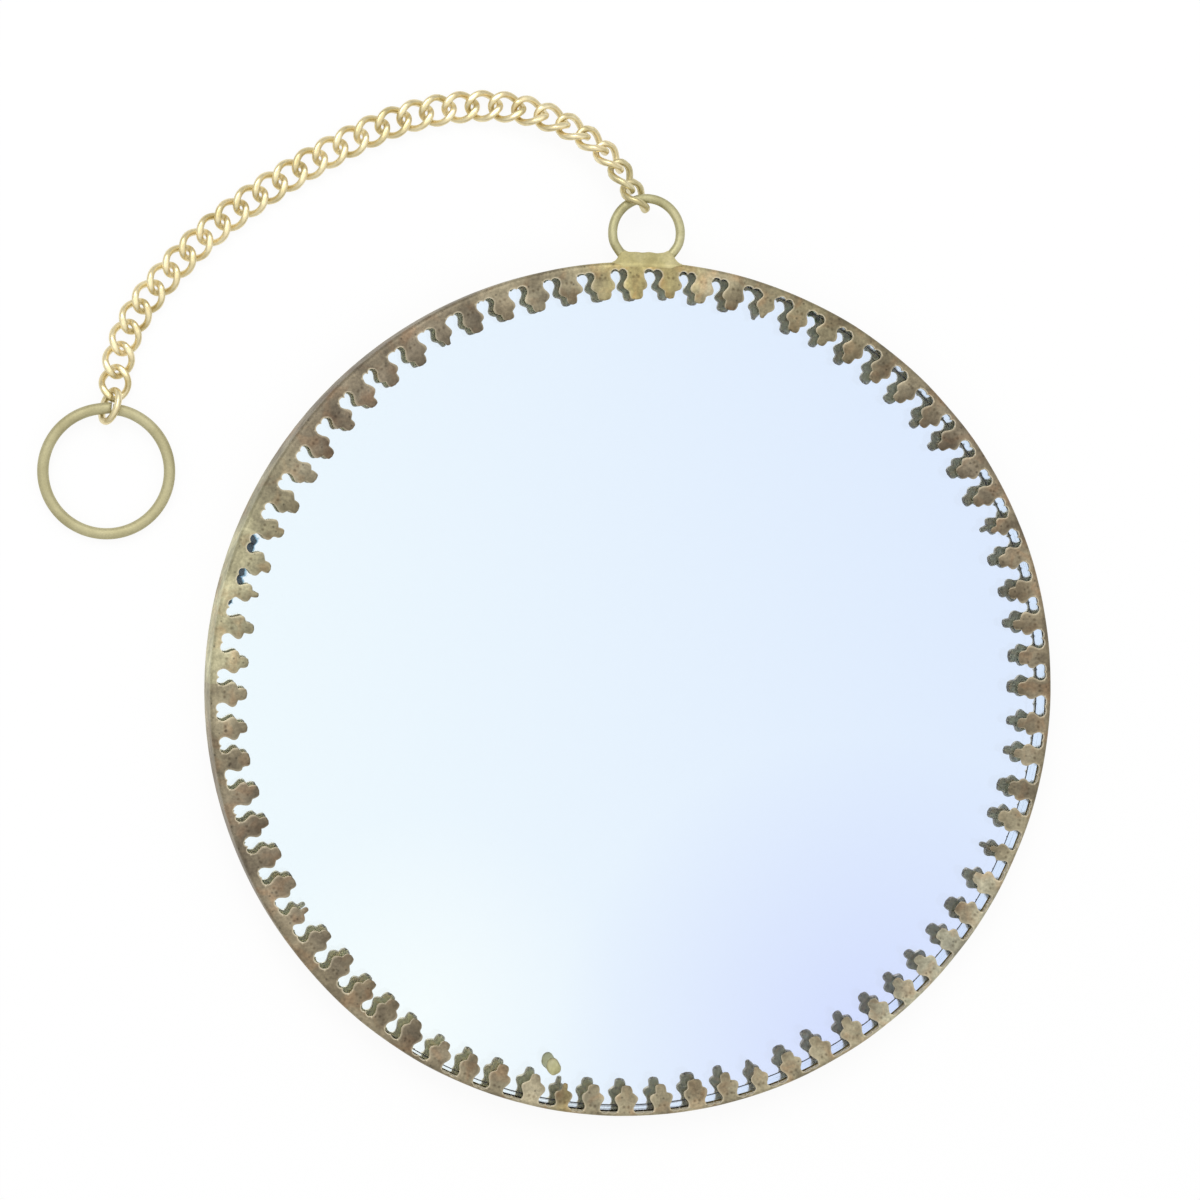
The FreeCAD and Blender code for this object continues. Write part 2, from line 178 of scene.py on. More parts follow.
# Back plate: a round of thin sheet brass that closes the case. It is dull, a little scratched and stained,
# and the wall is soldered to its edge.
UNTINTED = (1, 1, 1)
scratch_length = 24 * MM
ring_span = 100 * MM
# Millimetres from a tooth's root over which the lengthwise tints run.
lengthwise_start, lengthwise_end = -2.0, 4.0


def times(tree, one, other):
    """One colour tinted by another."""
    node = tree.nodes.new("ShaderNodeVectorMath")
    node.operation = "MULTIPLY"
    tree.links.new(one, node.inputs[0])
    tree.links.new(other, node.inputs[1])
    return node.outputs[0]


def cloud(tree, place, scale, detail, roughness=0.5, distortion=0.0):
    """Soft random pattern."""
    node = tree.nodes.new("ShaderNodeTexNoise")
    node.inputs["Scale"].default_value = scale
    node.inputs["Detail"].default_value = detail
    node.inputs["Roughness"].default_value = roughness
    node.inputs["Distortion"].default_value = distortion
    tree.links.new(place, node.inputs["Vector"])
    return node.outputs["Fac"]


def brass(name, stain, body, worn, metal=0.85, rough=0.45, patch_size=9.0, grain_size=0.5, dent=0.05, pits=0.5,
          grain=1.0, blush=0.1, zones=None, punch_marks=(), lengthwise=(), edge_highlight_tone=None, scratches=(), rings=()):
    """Old unlacquered brass: stained, reddened and worn patches, fine grain and pits, and a pale painted highlight
    along the edges where the piece has an edge mark. Zones tint it by the clock angle round the mirror, lengthwise
    tints, which can hold painted highlight and painted shade, run along a tooth, rings tint it by the distance from
    the middle, and scratches have a turn, a fineness and a tint."""
    finish, tree, shader = new_finish(name)
    link = tree.links.new
    place = tree.nodes.new("ShaderNodeTexCoord").outputs["Object"]

    def patches(size_mm, detail, roughness=0.55, distortion=0.0):
        return cloud(tree, place, 1000 / size_mm, detail, roughness, distortion)

    def tinted(tone, value, *steps):
        return times(tree, tone, stops(tree, value, *steps))

    tone = stops(tree, patches(patch_size, 6, 0.62, 0.4), (0.34, stain), (0.5, body), (0.7, worn))
    reddened = (1 + blush, 1 - blush, 1 - 2 * blush)
    tone = tinted(tone, patches(patch_size * 0.55, 4, 0.5, 0.8), (0.5, UNTINTED), (0.68, reddened))
    low, high = 1 - 0.24 * grain, 1 + 0.18 * grain
    tone = tinted(tone, patches(grain_size, 4), (0.3, (low, low, low)), (0.7, (high, high, high)))
    dots = tree.nodes.new("ShaderNodeTexVoronoi")
    dots.inputs["Scale"].default_value = 1000 / (grain_size * 2.6)
    link(place, dots.inputs["Vector"])
    dark = 1 - pits
    tone = tinted(tone, dots.outputs["Distance"], (0.06, (dark, dark, dark)), (0.2, UNTINTED))

    local = tree.nodes.new("ShaderNodeAttribute")
    local.attribute_name = "punch_place"
    if lengthwise:
        parts = tree.nodes.new("ShaderNodeSeparateXYZ")
        link(local.outputs["Vector"], parts.inputs[0])
        run = tree.nodes.new("ShaderNodeMapRange")
        run.inputs["From Min"].default_value = lengthwise_start
        run.inputs["From Max"].default_value = lengthwise_end
        link(parts.outputs["Y"], run.inputs["Value"])
        tone = tinted(tone, run.outputs[0], *lengthwise)
        own = tree.nodes.new("ShaderNodeAttribute")
        own.attribute_name = "tooth_tone"
        tone = tinted(tone, own.outputs["Fac"], (0.0, (0.86, 0.83, 0.80)), (0.5, UNTINTED), (1.0, (1.1, 1.12, 1.15)))
    for mark in punch_marks:
        away = tree.nodes.new("ShaderNodeVectorMath")
        away.operation = "DISTANCE"
        link(local.outputs["Vector"], away.inputs[0])
        away.inputs[1].default_value = (*mark, 0)
        tone = tinted(tone, away.outputs["Value"], (0.08, (0.6, 0.57, 0.54)), (0.32, UNTINTED))
    if zones:
        sweep = tree.nodes.new("ShaderNodeTexGradient")
        sweep.gradient_type = "RADIAL"
        link(place, sweep.inputs["Vector"])
        # The sweep runs anticlockwise from nine o'clock.
        steps = sorted(((0.75 - clock / 360) % 1, tint) for clock, tint in zones.items())
        tone = tinted(tone, sweep.outputs["Fac"], *steps)

    for turn, fineness, scratched in scratches:
        drawn = tree.nodes.new("ShaderNodeMapping")
        drawn.vector_type = "TEXTURE"
        drawn.inputs["Rotation"].default_value = (0, 0, math.radians(turn))
        drawn.inputs["Scale"].default_value = (scratch_length, fineness * MM, 1)
        link(place, drawn.inputs["Vector"])
        tone = tinted(tone, cloud(tree, drawn.outputs[0], 1.0, 2.0), (0.64, UNTINTED), (0.7, scratched))
    if rings:
        out = tree.nodes.new("ShaderNodeVectorMath")
        out.operation = "LENGTH"
        link(place, out.inputs[0])
        far = tree.nodes.new("ShaderNodeMapRange")
        far.inputs["From Max"].default_value = ring_span
        link(out.outputs["Value"], far.inputs["Value"])
        tone = tinted(tone, far.outputs[0], *rings)

    # Painted highlight: where the edge mark is set, the colour is mixed towards a pale edge tone.
    edge = tree.nodes.new("ShaderNodeAttribute")
    edge.attribute_name = "edge"
    edge_highlight_mix = tree.nodes.new("ShaderNodeMix")
    edge_highlight_mix.data_type = "RGBA"
    link(edge.outputs["Fac"], edge_highlight_mix.inputs["Factor"])
    link(tone, edge_highlight_mix.inputs["A"])
    edge_highlight_mix.inputs["B"].default_value = (*(edge_highlight_tone or worn), 1)
    link(edge_highlight_mix.outputs["Result"], shader.inputs["Base Color"])

    sheen = tree.nodes.new("ShaderNodeMapRange")
    sheen.inputs["To Min"].default_value = rough - 0.12
    sheen.inputs["To Max"].default_value = rough + 0.18
    link(patches(patch_size * 0.4, 5), sheen.inputs["Value"])
    link(sheen.outputs[0], shader.inputs["Roughness"])
    shader.inputs["Metallic"].default_value = metal

    bump = tree.nodes.new("ShaderNodeBump")
    bump.inputs["Strength"].default_value = 0.6
    bump.inputs["Distance"].default_value = dent * MM
    link(patches(grain_size * 1.6, 5), bump.inputs["Height"])
    link(bump.outputs[0], shader.inputs["Normal"])
    return finish


def dress(node, finish):
    """Give a CAD node that keeps its own shape a better finish."""
    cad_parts[node].data.materials.clear()
    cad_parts[node].data.materials.append(finish)


plate_scratches = ((20, 0.34, (1.5, 1.48, 1.45)), (74, 0.28, (1.4, 1.4, 1.36)), (-38, 0.45, (0.62, 0.6, 0.58)))
plate_rings = ((0.56, UNTINTED), (0.605, (0.72, 0.66, 0.62)), (0.625, (0.86, 0.84, 0.82)), (0.64, (1.15, 1.15, 1.14)))
sheet_brass = brass("sheet_brass", (0.31, 0.24, 0.12), (0.44, 0.345, 0.18), (0.56, 0.45, 0.25), patch_size=14.0,
                    metal=0.95, rough=0.36, grain=0.4, pits=0.2, dent=0.02, blush=0.04,
                    scratches=plate_scratches, rings=plate_rings)
dress("back_plate", sheet_brass)


# Packing card: a grey-brown disc of pressed paper that fills the case between the back plate and the glass. It is
# cut by hand, is only laid in, and is held by what lies on it.
def mottled(name, scale, detail, dark, light, start=0.0, end=1.0):
    """Finish that goes from a dark tone to a light one in a fine random pattern."""
    finish, tree, shader = new_finish(name)
    place = tree.nodes.new("ShaderNodeTexCoord").outputs["Object"]
    tone = stops(tree, cloud(tree, place, scale, detail), (start, dark), (end, light))
    tree.links.new(tone, shader.inputs["Base Color"])
    return finish, shader


card_finish, shader = mottled("pressed_card", 900, 8, (0.20, 0.15, 0.10), (0.38, 0.30, 0.21))
shader.inputs["Roughness"].default_value = 0.95
dress("packing_card", card_finish)

# Silvering: the thin mirror coat under the glass, sealed with brown paint. Only the paint shows from behind.
# Its bluish reflecting side is the lower face of the glass itself, so it is made with the glass.
paint_finish, shader = mottled("backing_paint", 400, 6, (0.10, 0.045, 0.03), (0.17, 0.08, 0.05))
shader.inputs["Roughness"].default_value = 0.6
dress("silver_coat", paint_finish)

silver_finish, silver_tree, silver_shader = new_finish("bluish_silvering")
silver_place = silver_tree.nodes.new("ShaderNodeTexCoord").outputs["Object"]


def painted_reflection_tint(kind, location, turn, scale, start, end):
    """Painted reflection: a slow change of the silvering's tint across the glass, which stands in for the room
    mirrored in it.
    """
    shift = silver_tree.nodes.new("ShaderNodeMapping")
    shift.inputs["Location"].default_value = location
    shift.inputs["Rotation"].default_value = (0, 0, math.radians(turn))
    shift.inputs["Scale"].default_value = (scale, scale, 0)
    silver_tree.links.new(silver_place, shift.inputs["Vector"])
    change = silver_tree.nodes.new("ShaderNodeTexGradient")
    change.gradient_type = kind
    silver_tree.links.new(shift.outputs[0], change.inputs["Vector"])
    return stops(silver_tree, change.outputs["Fac"], (0.0, start), (1.0, end))


# Painted reflection: the tint runs from pale on the left to blue on the right, with a violet place and a clear one at
# the bottom, as the room would be mirrored in the glass.
silver_tone_and_painted_reflection = painted_reflection_tint("LINEAR", (0.5, 0, 0), -15, 7.7, (0.88, 0.96, 1.0), (0.73, 0.82, 1.0))
violet_reflection_place, violet_reflection_reach = Vector((36.9, -54.7, 0)) * MM, 48 * MM
clear_reflection_place, clear_reflection_reach = Vector((-30.7, -49.2, 0)) * MM, 30 * MM
for middle, reach, tint in ((violet_reflection_place, violet_reflection_reach, (0.84, 0.835, 1.0)),
                            (clear_reflection_place, clear_reflection_reach, (1.09, 1.055, 1.0))):
    change = painted_reflection_tint("SPHERICAL", -middle / reach, 0, 1 / reach, UNTINTED, tint)
    silver_tone_and_painted_reflection = times(silver_tree, silver_tone_and_painted_reflection, change)
# Spots where the silvering has gone have a ragged edge, which wanders this far in all.
spot_wander = 1.2 * MM
uneven = silver_tree.nodes.new("ShaderNodeMath")
uneven.operation = "MULTIPLY_ADD"
uneven.inputs[1].default_value = spot_wander
uneven.inputs[2].default_value = -spot_wander / 2
silver_tree.links.new(cloud(silver_tree, silver_place, 1100, 3), uneven.inputs[0])
glass_low, glass_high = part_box("glass_disc")
coat_gap = 0.02 * MM
glass_foot = glass_low.z + coat_gap


def tarnish(tone, clock, radius, size, colour, fringe):
    """Spot where the silvering has gone, ragged, with a coloured fringe."""
    angle = math.radians(clock)
    away = silver_tree.nodes.new("ShaderNodeVectorMath")
    away.operation = "DISTANCE"
    away.inputs[1].default_value = (radius * math.sin(angle), radius * math.cos(angle), glass_foot)
    silver_tree.links.new(silver_place, away.inputs[0])
    ragged_away = silver_tree.nodes.new("ShaderNodeMath")
    silver_tree.links.new(away.outputs["Value"], ragged_away.inputs[0])
    silver_tree.links.new(uneven.outputs[0], ragged_away.inputs[1])
    spread = silver_tree.nodes.new("ShaderNodeMapRange")
    spread.inputs["From Max"].default_value = 2 * size
    silver_tree.links.new(ragged_away.outputs[0], spread.inputs["Value"])
    spot = stops(silver_tree, spread.outputs[0], (0.4, colour), (0.5, fringe), (0.62, UNTINTED))
    return times(silver_tree, tone, spot)


black, blue = (0.035, 0.055, 0.07), (0.30, 0.48, 0.60)
for clock, radius, size in ((284.3, 62.5, 0.9), (285.5, 62.4, 0.9), (289.1, 62.4, 0.9), (290.2, 62.4, 0.85),
                            (281.2, 62.9, 0.6)):
    silver_tone_and_painted_reflection = tarnish(silver_tone_and_painted_reflection, clock, radius * MM, size * MM, black, blue)
green, pale_green = (0.10, 0.20, 0.03), (0.45, 0.6, 0.35)
for clock, radius, size in ((24.2, 63.7, 0.45), (25.4, 63.4, 0.4)):
    silver_tone_and_painted_reflection = tarnish(silver_tone_and_painted_reflection, clock, radius * MM, size * MM, green, pale_green)
silver_tree.links.new(silver_tone_and_painted_reflection, silver_shader.inputs["Base Color"])
silver_shader.inputs["Metallic"].default_value = 1.0
silver_shader.inputs["Roughness"].default_value = 0.0

# Glass: a thick round of clear mirror glass with its front edge ground off. It lies on the card and is held down by
# the folded teeth. The cut edge is smooth enough to shine from within, with grinding lines along it, and near the
# strip's seam it carries painted shade for the dark slot between glass and wall.
glass_radius = glass_high.x
glass_arris = 0.08 * MM
CLEAR, SILVERED, GROUND = 0, 1, 2
level_face = 0.9
glass_shape = bmesh.new()
bmesh.ops.create_circle(glass_shape, cap_ends=True, segments=256, radius=glass_radius)
lifted = bmesh.ops.extrude_face_region(glass_shape, geom=list(glass_shape.faces), use_keep_orig=True)
lifted_verts = [item for item in lifted["geom"] if isinstance(item, bmesh.types.BMVert)]
bmesh.ops.translate(glass_shape, vec=(0, 0, glass_high.z - glass_foot), verts=lifted_verts)
bmesh.ops.translate(glass_shape, vec=(0, 0, glass_foot), verts=list(glass_shape.verts))
front_edges = [edge for edge in glass_shape.edges if all(v.co.z > glass_high.z - glass_arris for v in edge.verts)]
bmesh.ops.bevel(glass_shape, geom=front_edges, offset=glass_arris, affect="EDGES", segments=1, profile=0.5,
                material=-1)
bmesh.ops.recalc_face_normals(glass_shape, faces=list(glass_shape.faces))
for edge in glass_shape.edges:
    edge.smooth = edge.calc_face_angle() < math.radians(30)
for face in glass_shape.faces:
    slope = face.normal.z
    face.material_index = SILVERED if slope < -level_face else CLEAR if slope > level_face else GROUND

glass_finish, tree, shader = new_finish("clear_glass")
shader.inputs["Base Color"].default_value = (0.985, 1.0, 0.995, 1)
shader.inputs["Transmission Weight"].default_value = 1.0
shader.inputs["Roughness"].default_value = 0.0
shader.inputs["IOR"].default_value = 1.52
ground_finish, tree, shader = new_finish("ground_glass_edge")
grind_place = tree.nodes.new("ShaderNodeTexCoord").outputs["Object"]
grind_lines = tree.nodes.new("ShaderNodeMapping")
grind_lines.inputs["Scale"].default_value = (70, 70, 1600)
tree.links.new(grind_place, grind_lines.inputs["Vector"])
ground_tone = stops(tree, cloud(tree, grind_lines.outputs[0], 1, 4), (0.33, (0.50, 0.56, 0.58)),
                    (0.42, (0.92, 0.99, 1.0)))
# Painted shade: near the seam the edge is darkened almost to black, for the dark slot between glass and wall.
slot_shade_clock = math.radians(184)
slot_shade_reach = Vector((17, 17, 3.4)) * MM
slot_shade_place = tree.nodes.new("ShaderNodeMapping")
slot_shade_place.vector_type = "TEXTURE"
slot_shade_place.inputs["Location"].default_value = (
    glass_radius * math.sin(slot_shade_clock), glass_radius * math.cos(slot_shade_clock), glass_high.z)
slot_shade_place.inputs["Scale"].default_value = slot_shade_reach
tree.links.new(grind_place, slot_shade_place.inputs["Vector"])
slot_shade = tree.nodes.new("ShaderNodeTexGradient")
slot_shade.gradient_type = "SPHERICAL"
tree.links.new(slot_shade_place.outputs[0], slot_shade.inputs["Vector"])
painted_slot_shade = stops(tree, slot_shade.outputs["Fac"], (0.0, UNTINTED), (0.12, (0.02, 0.02, 0.025)))
tree.links.new(times(tree, ground_tone, painted_slot_shade), shader.inputs["Base Color"])
shader.inputs["Metallic"].default_value = 1.0
shader.inputs["Roughness"].default_value = 0.12
glass = add_piece("mirror_glass", glass_shape, glass_finish, silver_finish, ground_finish)
for face in glass.data.polygons:
    face.use_smooth = face.material_index == GROUND
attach(glass, "mirror")
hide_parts("glass_disc")

# Gallery: one strip of sheet brass, bent round into the wall of the case, folded over the glass and punched
# into 76 trefoil teeth. The punch cuts ten at a stroke, one of them narrow, and the strip was fed by hand, so no
# two teeth are quite alike. Its ends butt at the bottom.
tooth_count = 76
wall_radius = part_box("back_plate")[1].x
wall_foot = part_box("back_plate")[1].z
face_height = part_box("gallery_band")[1].z
strip_sheet = 0.6 * MM
fold_radius = 0.65 * MM
# Rim outside the gaps, in millimetres by the clock: the strip was folded by hand and is far out of true.
rim_by_clock = {0: 1.15, 25: 1.2, 50: 0.95, 85: 0.85, 112: 0.42, 204: 0.4, 225: 1.75, 245: 1.6, 262: 1.5, 300: 2.3,
                310: 2.2, 322: 1.75, 345: 1.4}
wall_lean = 0.5 * MM
leaning_side = math.radians(285)
wall_waver = 0.06 * MM
waver_scale, waver_seed = 9, 3.0
# A tooth from its root: a neck, a body that swells to round shoulders, and a blunt tip.
tooth_length = 4.1 * MM
base_half = 1.42 * MM
root_flare = 0.45 * MM
root_blend = 0.3 * MM
neck_half = 1.22 * MM
neck_end = 0.6 * MM
body_half = 1.77 * MM
body_widest = 1.95 * MM
body_end = 2.85 * MM
body_roundness = 2.6
shoulder_slope = 0.6
taper_past_tip = 0.6 * MM
tip_half = 0.88 * MM
tip_middle = 3.05 * MM
tip_roundness = 2.8
tip_bend_start, tip_bend_gain = 0.65, 6
cut_raggedness, cut_scale = 0.05 * MM, 2.1
tooth_crown, crown_growth = 0.12 * MM, 4
tooth_swell, swell_scale = 0.05 * MM, 0.9
scallop_depth = 0.3 * MM
scallop_roundness = 0.6
# Clock angles: where the strip's ends meet, its first tooth, and its steps, which grow a little as it was fed.
seam_angle = math.radians(186.8)
first_tooth = math.radians(188.8)
tooth_step = math.radians(4.68)
step_growth = math.radians(0.00087)
TOOTH_COLUMNS, GAP_COLUMNS = 8, 12
WALL_ROWS, RIM_ROWS, TOOTH_ROWS = 2, 7, 21
PITCH_COLUMNS = TOOTH_COLUMNS + GAP_COLUMNS
HALF_GAP = GAP_COLUMNS // 2
STRIP_COLUMNS = tooth_count * PITCH_COLUMNS
BASE_ROWS = WALL_ROWS + RIM_ROWS
STRIP_ROWS = BASE_ROWS + TOOTH_ROWS
# The rows crowd towards a tooth's tip.
row_crowding = 1.15
# What the finish reads: the millimetres from rim to root, the painted highlight along the cut edges, and each tooth's
# tone.
rim_run, root_run = 1.6, 0.2
gap_edge_highlight, tooth_edge_highlight = 0.85, 0.45
plain_tone, tone_growth = 0.5, 3


def shaped_sheet(columns, rows, place):
    """Sheet of columns by rows of small faces, each corner put where place(column, row) says."""
    shape = bmesh.new()
    bmesh.ops.create_grid(shape, x_segments=columns, y_segments=rows, size=0.5)
    for vert in shape.verts:
        column = round((vert.co.x + 0.5) * columns)
        row = round((vert.co.y + 0.5) * rows)
        vert.co = place(column, row)
    return shape


def eased(share):
    """Slow start and slow stop between 0 and 1."""
    share = max(0.0, min(1.0, share))
    return share * share * (3 - 2 * share)


def swelling(away, reach, half, roundness):
    """Half width of a rounded lobe, some way from its middle."""
    return half * max(0.0, 1 - (abs(away) / reach) ** roundness) ** (1 / roundness)


class Tooth:
    """What the punch and the maker's fingers gave one tooth."""

    def __init__(self, number):
        chance = random.Random(number)
        narrow = number % 10 == 0
        self.angle = first_tooth + tooth_step * number + step_growth * number ** 2
        self.angle += math.radians(chance.uniform(-0.2, 0.2))
        self.stretch = chance.uniform(0.96, 1.06) * (0.89 if narrow else 1)
        self.breadth = 0.78 if narrow else chance.uniform(0.95, 1.05)
        self.lean = chance.uniform(-0.05, 0.05)
        self.sink = chance.uniform(0.0, 0.25) * MM
        self.lobes = {-1: chance.uniform(0.94, 1.06), 1: chance.uniform(0.94, 1.06)}
        self.ends = {-1: chance.uniform(-0.12, 0.12) * MM, 1: chance.uniform(-0.12, 0.12) * MM}
        self.tip_half = tip_half * (0.66 if narrow else chance.uniform(0.85, 1.25))
        self.tip_bend = chance.uniform(-0.25, 0.25) * MM
        self.taper = chance.choice((0.0, 0.0, 0.2, 0.75))
        self.bite = scallop_depth * chance.uniform(0.6, 1.3)
        self.tone = chance.uniform(0.0, 1.0)

    def half_at(self, along, side):
        """Half width of the tooth on one side, some way from its root."""
        along = along / self.stretch
        body = body_half * self.lobes[side]
        if along < body_widest:
            root = max(0.0, 1 - along / root_flare)
            half = neck_half + (base_half - neck_half) * root ** 2
            half += (body - neck_half) * eased((along - neck_end) / (body_widest - neck_end))
        else:
            half = swelling(along - body_widest, body_end + self.ends[side] - body_widest, body, body_roundness)
        if along > body_widest:
            slope = body - (along - body_widest) * shoulder_slope
            half += self.taper * max(0.0, min(slope, body) - half) * (along < tip_middle + taper_past_tip)
            tip = self.tip_half
            if along > tip_middle:
                tip = swelling(along - tip_middle, tooth_length - tip_middle, self.tip_half, tip_roundness)
            half = max(half, tip)
        cut = Vector((along / MM * cut_scale, self.angle * 50, side * 7))
        ragged = cut_raggedness * noise.noise(cut)
        root_share = min(along / root_blend, 1.0)
        return base_half + ((half + ragged) * self.breadth - base_half) * root_share


teeth = [Tooth(number) for number in range(tooth_count)]


def rim_width(angle):
    """Rim outside the gaps at a clock angle, eased between its measured places."""
    clock = math.degrees(angle) % 360
    before = max(place for place in rim_by_clock if place <= clock)
    after = min((place for place in rim_by_clock if place > clock), default=360)
    start, end = rim_by_clock[before], rim_by_clock[after % 360]
    return (start + (end - start) * eased((clock - before) / (after - before))) * MM


def gap_radius(angle):
    """Radius at which the teeth begin."""
    return wall_radius - rim_width(angle) - scallop_depth


def round_the_fold(inset, share):
    """Way in and down from the strip's top corner, part of the way round the fold and along the rim."""
    quarter = fold_radius * math.pi / 2
    if inset < fold_radius:
        whole = fold_radius * math.acos(1 - inset / fold_radius)
    else:
        whole = quarter + inset - fold_radius
    run = whole * share
    if run < quarter:
        turn = run / fold_radius
        return fold_radius * (1 - math.cos(turn)), fold_radius * (1 - math.sin(turn))
    return fold_radius + run - quarter, 0.0


def strip_angle(pitch, step):
    """Clock angle of a column, its place across its tooth or gap, and the depth of the punch's bite there."""
    tooth = teeth[pitch]
    half_root = base_half / gap_radius(tooth.angle)
    if step < HALF_GAP:
        start = (teeth[pitch - 1].angle + tooth.angle) / 2 if pitch else seam_angle
        share = step / HALF_GAP
        angle = start + (tooth.angle - half_root - start) * share
        return angle, 0.0, teeth[pitch - 1].bite * abs(math.sin(math.pi * share)) ** scallop_roundness
    if step <= HALF_GAP + TOOTH_COLUMNS:
        across = 2 * (step - HALF_GAP) / TOOTH_COLUMNS - 1
        return tooth.angle + half_root * across, across, 0.0
    end = (tooth.angle + teeth[pitch + 1].angle) / 2 if pitch < tooth_count - 1 else seam_angle + 2 * math.pi
    share = (step - HALF_GAP - TOOTH_COLUMNS) / HALF_GAP
    angle = tooth.angle + half_root + (end - tooth.angle - half_root) * share
    return angle, 0.0, tooth.bite * abs(math.sin(math.pi * share)) ** scallop_roundness


def strip_point(column, row):
    """Outer face of the strip: up the wall, round the fold, over the rim and out along a tooth. With the point come
    its place on the tooth, in millimetres, and the tooth's tone."""
    pitch = min(column // PITCH_COLUMNS, tooth_count - 1)
    angle, across, bite = strip_angle(pitch, column - pitch * PITCH_COLUMNS)
    waver = noise.noise(Vector((waver_scale * math.sin(angle), waver_scale * math.cos(angle), waver_seed)))
    lean = wall_lean * max(0.0, math.cos(angle - leaning_side)) ** 3
    lean += wall_waver * (1 + waver)
    top_radius = wall_radius - lean
    if row <= WALL_ROWS:
        share = row / WALL_ROWS
        radius = wall_radius - lean * share
        height = wall_foot + (face_height - fold_radius - wall_foot) * share
    elif row <= BASE_ROWS:
        inset = top_radius - gap_radius(angle) - bite - wall_waver * waver
        way_in, way_down = round_the_fold(inset, (row - WALL_ROWS) / RIM_ROWS)
        radius = top_radius - way_in
        height = face_height - way_down
    if row <= BASE_ROWS:
        before_root = max(0.0, (BASE_ROWS - row) / RIM_ROWS) * rim_run + root_run
        point = Vector((radius * math.sin(angle), radius * math.cos(angle), height))
        return point, Vector((0, -before_root, 0)), plain_tone
    tooth = teeth[pitch]
    share = (row - BASE_ROWS) / TOOTH_ROWS
    along = tooth_length * tooth.stretch * (1 - (1 - share) ** row_crowding)
    place = Vector((tooth.half_at(along, 1 if across > 0 else -1) * across, along, 0))
    bent = tooth.tip_bend * max(0.0, along / tooth_length - tip_bend_start) ** 2 * tip_bend_gain
    outward = Vector((math.sin(tooth.angle), math.cos(tooth.angle), 0))
    clockwise = Vector((math.cos(tooth.angle), -math.sin(tooth.angle), 0))
    point = outward * (gap_radius(tooth.angle) - along) + clockwise * (place.x + along * tooth.lean + bent)
    swell = tooth_swell * noise.noise(point / MM * swell_scale)
    point.z = face_height - tooth_crown * across ** 2 * min(share * crown_growth, 1) + swell * share
    point.z -= tooth.sink * (along / tooth_length) ** 2
    return point, place / MM, plain_tone + (tooth.tone - plain_tone) * min(share * tone_growth, 1)


gallery_shape = shaped_sheet(STRIP_COLUMNS, STRIP_ROWS, lambda column, row: Vector((column, row, 0)))
punched = []
for face in gallery_shape.faces:
    middle = face.calc_center_median()
    step = middle.x % PITCH_COLUMNS
    if middle.y > BASE_ROWS and not HALF_GAP < step < HALF_GAP + TOOTH_COLUMNS:
        punched.append(face)
bmesh.ops.delete(gallery_shape, geom=punched, context="FACES")
# The edge mark carries a painted highlight along the cut edges of the teeth and gaps.
edge_highlight_mark = gallery_shape.verts.layers.float.new("edge")
punch_place = gallery_shape.verts.layers.float_vector.new("punch_place")
tooth_tone = gallery_shape.verts.layers.float.new("tooth_tone")
for vert in gallery_shape.verts:
    column, row = round(vert.co.x), round(vert.co.y)
    if vert.is_boundary and row >= BASE_ROWS:
        vert[edge_highlight_mark] = gap_edge_highlight if row == BASE_ROWS else tooth_edge_highlight
    vert.co, vert[punch_place], vert[tooth_tone] = strip_point(column, row)
bmesh.ops.recalc_face_normals(gallery_shape, faces=list(gallery_shape.faces))
wall_face = min(gallery_shape.faces, key=lambda face: face.calc_center_median().z)
if wall_face.normal.dot(wall_face.calc_center_median() * Vector((1, 1, 0))) < 0:
    bmesh.ops.reverse_faces(gallery_shape, faces=list(gallery_shape.faces))
# Tints by the clock: yellowed by the loop and at the seam, rubbed pale at four and at ten, brown and dull elsewhere.
yellowed, smeared, polished, pale = (1.8, 1.7, 1.1), (1.65, 1.5, 0.95), (1.48, 1.52, 1.36), (1.92, 2.06, 2.16)
tan, light_tan, olive = (1.18, 1.14, 1.05), (1.3, 1.26, 1.17), (0.92, 0.88, 0.74)
brown, dull = (0.93, 0.86, 0.80), (0.77, 0.71, 0.70)
gallery_zones = {3: yellowed, 9: tan, 24: olive, 50: dull, 72: brown, 94: brown, 110: light_tan, 130: pale,
                 150: light_tan, 187.4: light_tan, 188.8: smeared, 190.2: light_tan, 208: brown, 230: brown,
                 250: dull, 270: tan, 290: polished, 306: dull, 330: dull, 350: tan, 357: yellowed}
# Lengthwise tints: a painted highlight makes the fold over the rim pale, and the teeth grow darker towards their
# tips.
gallery_brass = brass("gallery_brass", (0.15, 0.131, 0.093), (0.25, 0.225, 0.158), (0.39, 0.355, 0.257),
                      metal=0.7, rough=0.5, patch_size=6.0, grain_size=0.45, dent=0.07, blush=0.08,
                      zones=gallery_zones, punch_marks=((-0.38, 0.85), (0.38, 0.85)), edge_highlight_tone=(0.70, 0.62, 0.45),
                      lengthwise=((0.04, (1.3, 1.34, 1.34)), (0.16, (1.1, 1.1, 1.08)), (0.6, (0.98, 0.98, 0.98)),
                                  (0.95, (0.80, 0.78, 0.76))))
